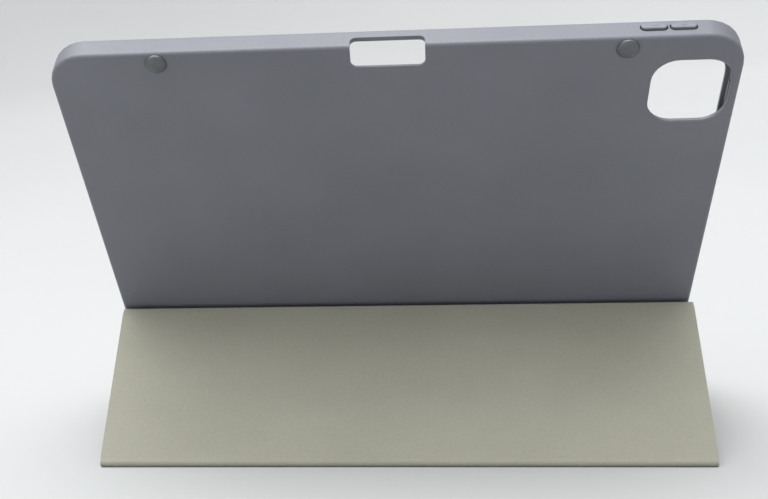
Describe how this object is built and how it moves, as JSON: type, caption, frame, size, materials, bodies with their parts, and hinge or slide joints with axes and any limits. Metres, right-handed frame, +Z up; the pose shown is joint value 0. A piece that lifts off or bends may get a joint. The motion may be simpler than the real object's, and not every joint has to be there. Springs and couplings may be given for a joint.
{
  "type": "tablet case",
  "caption": "Folding tablet case: moulded back shell with camera hole, pencil channel and press buttons, on a hinged panel cover folded as an easel stand.",
  "frame": {"origin": "middle of the underside of the base cover panel, on the desk", "axes": "+Z up, +X along the fold lines, to the right as seen from the back of the case, -Y towards the side that the shell's back faces"},
  "size_m": [0.2873, 0.1366, 0.201],
  "materials": {
    "shell": "soft matt moulded polymer",
    "button": "satin moulded polymer",
    "rubber": "smooth, slightly glossy",
    "skin": "fine-grained imitation leather",
    "lining": "short-nap microfibre",
    "board": "plain stiff sheet",
    "adhesive": "clear film",
    "magnet": "plated"
  },
  "bodies": {
    "shell": {"anchor_adhesive": "adhesive", "back_shell": "shell", "cover_anchor_strip": "skin", "rubber_foot_left": "rubber", "rubber_foot_right": "rubber"},
    "volume_minus": {"volume_minus_button": "button"},
    "volume_plus": {"volume_plus_button": "button"},
    "power": {"power_button": "button"},
    "spine": {"spine_board": "board", "spine_lining": "lining", "spine_outer_skin": "skin"},
    "panel_1": {"panel_1_board": "board", "panel_1_lining": "lining", "panel_1_outer_skin": "skin"},
    "panel_2": {"panel_2_board": "board", "panel_2_lining": "lining", "panel_2_outer_skin": "skin", "wake_magnet": "magnet"},
    "panel_3": {"panel_3_board": "board", "panel_3_lining": "lining", "panel_3_outer_skin": "skin", "closing_magnet_1": "magnet", "closing_magnet_2": "magnet", "closing_magnet_3": "magnet", "closing_magnet_4": "magnet"}
  },
  "joints": [
    {"name": "cover_swing", "type": "hinge", "parent": "shell", "child": "spine", "pos_m": [0, 0.0586, 0.0011], "axis": [1, 0, 0], "range_deg": [0, 213.7]},
    {"name": "panel_1_fold", "type": "hinge", "parent": "spine", "child": "panel_1", "pos_m": [0, 0.045, 0.0011], "axis": [1, 0, 0], "range_deg": [0, 90.1]},
    {"name": "panel_2_fold", "type": "hinge", "parent": "panel_1", "child": "panel_2", "pos_m": [0, -0.045, 0.0011], "axis": [1, 0, 0], "range_deg": [0, 138.53]},
    {"name": "panel_3_fold", "type": "hinge", "parent": "panel_2", "child": "panel_3", "pos_m": [0, 0.01935, 0.05816], "axis": [1, 0, 0], "range_deg": [0, 97.97]},
    {"name": "volume_minus_press", "type": "slide", "parent": "shell", "child": "volume_minus", "axis": [0, 0.5548, -0.832], "range_m": [0, 0.0005], "stiffness_N_per_m": 500},
    {"name": "volume_plus_press", "type": "slide", "parent": "shell", "child": "volume_plus", "axis": [0, 0.5548, -0.832], "range_m": [0, 0.0005], "stiffness_N_per_m": 500},
    {"name": "power_press", "type": "slide", "parent": "shell", "child": "power", "axis": [-1, 0, 0], "range_m": [0, 0.0005], "stiffness_N_per_m": 500}
  ],
  "couplings": [
    {"joint": "panel_1_fold", "follows": "cover_swing", "ratio": 0.42115},
    {"joint": "panel_2_fold", "follows": "cover_swing", "ratio": 0.6478},
    {"joint": "panel_3_fold", "follows": "cover_swing", "ratio": 0.45796}
  ]
}
